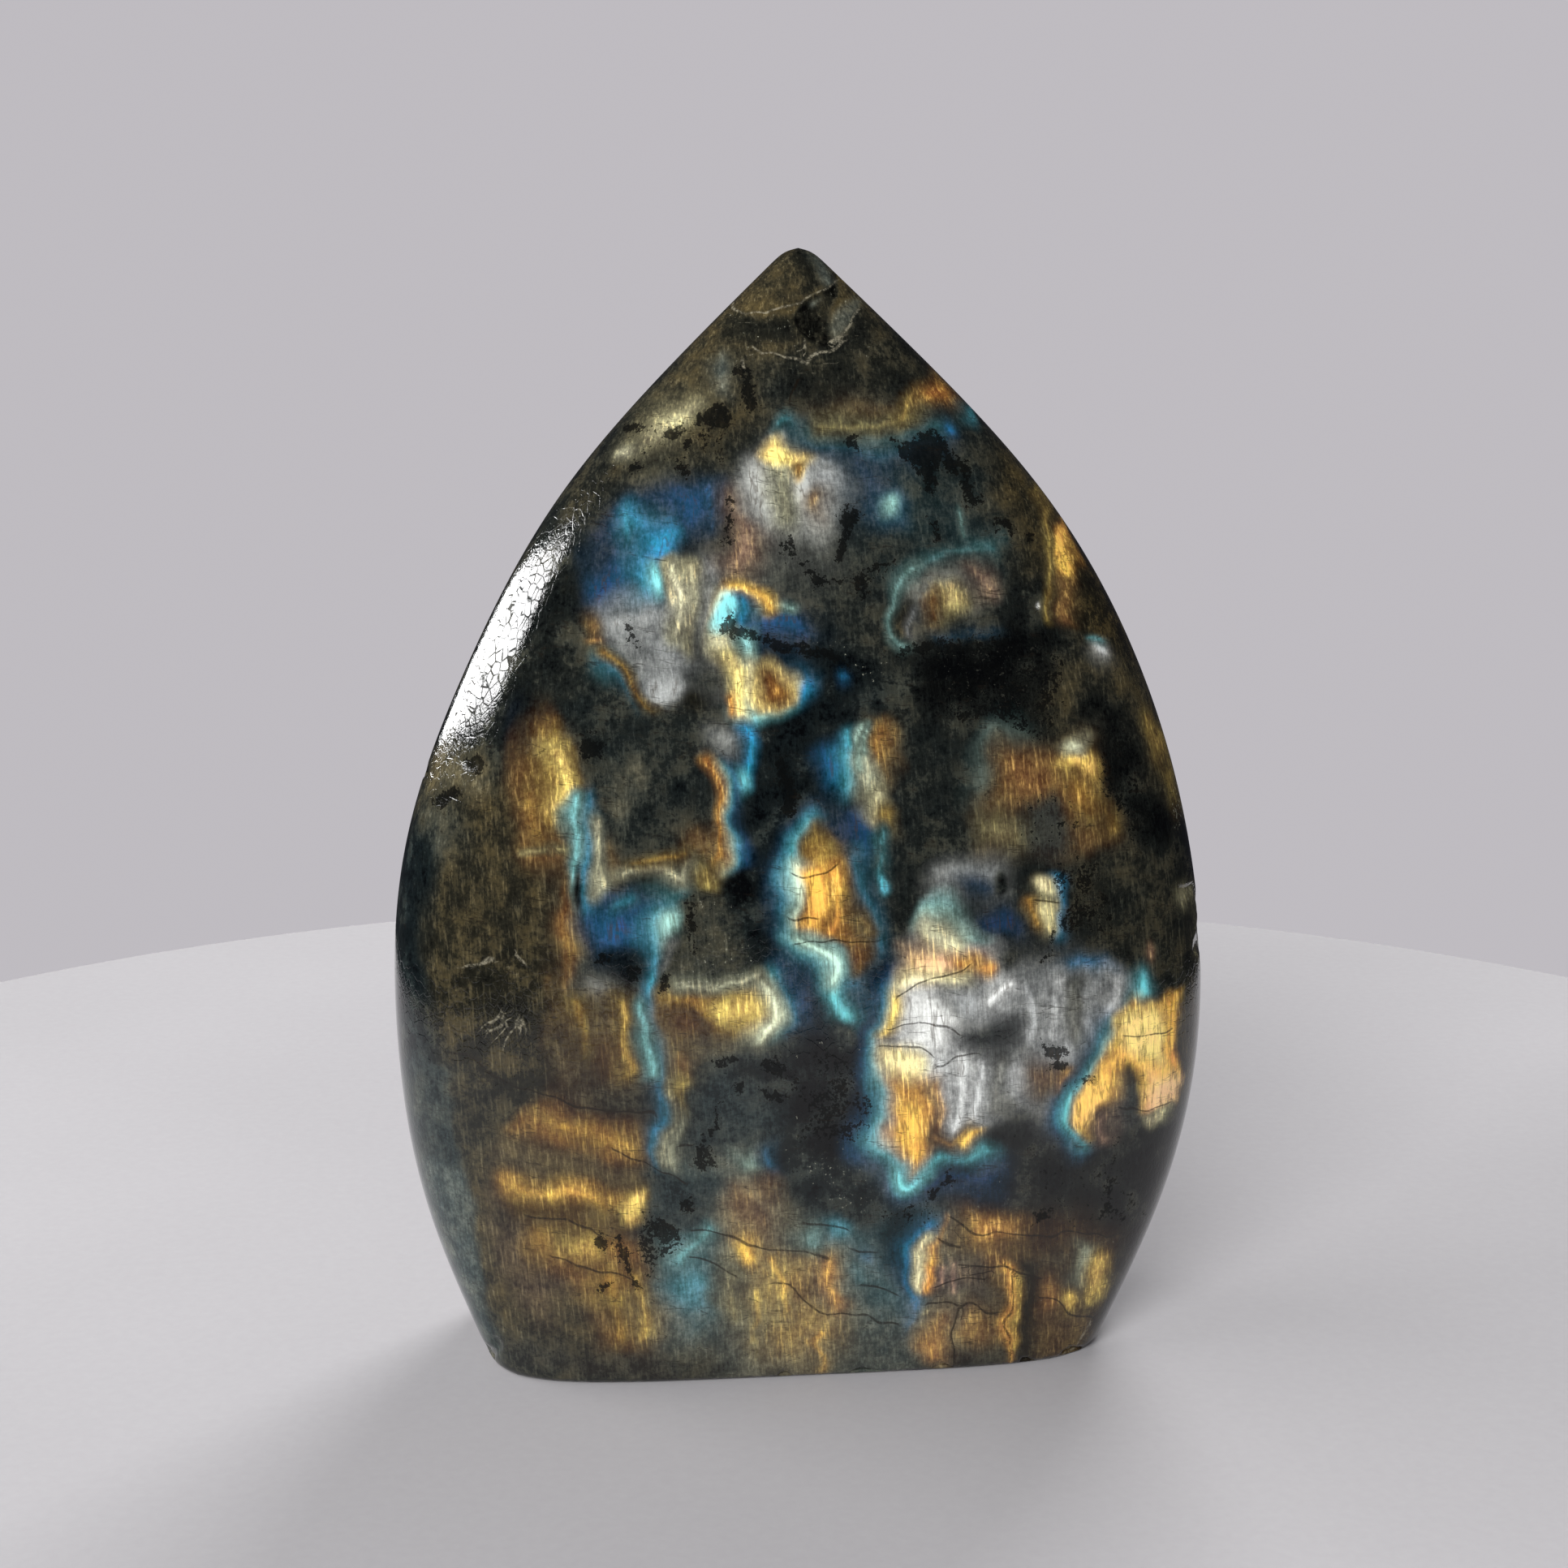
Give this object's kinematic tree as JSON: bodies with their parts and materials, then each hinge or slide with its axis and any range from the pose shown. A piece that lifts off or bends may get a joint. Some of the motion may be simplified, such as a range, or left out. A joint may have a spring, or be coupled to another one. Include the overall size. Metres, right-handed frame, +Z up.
{
  "type": "polished spectrolite flame",
  "caption": "Freeform flame of polished dark feldspar with blue, gold and orange flashes, standing on a flat sawn foot.",
  "frame": {"origin": "middle of the flat foot that the stone stands on", "axes": "+Z up towards the point, +X to the right across the width, -Y out of the front face, towards the viewer"},
  "size_m": [0.0894, 0.038, 0.12],
  "materials": {
    "polished_spectrolite": "polished"
  },
  "bodies": {
    "root": {"flame_stone": "polished_spectrolite"}
  },
  "joints": []
}
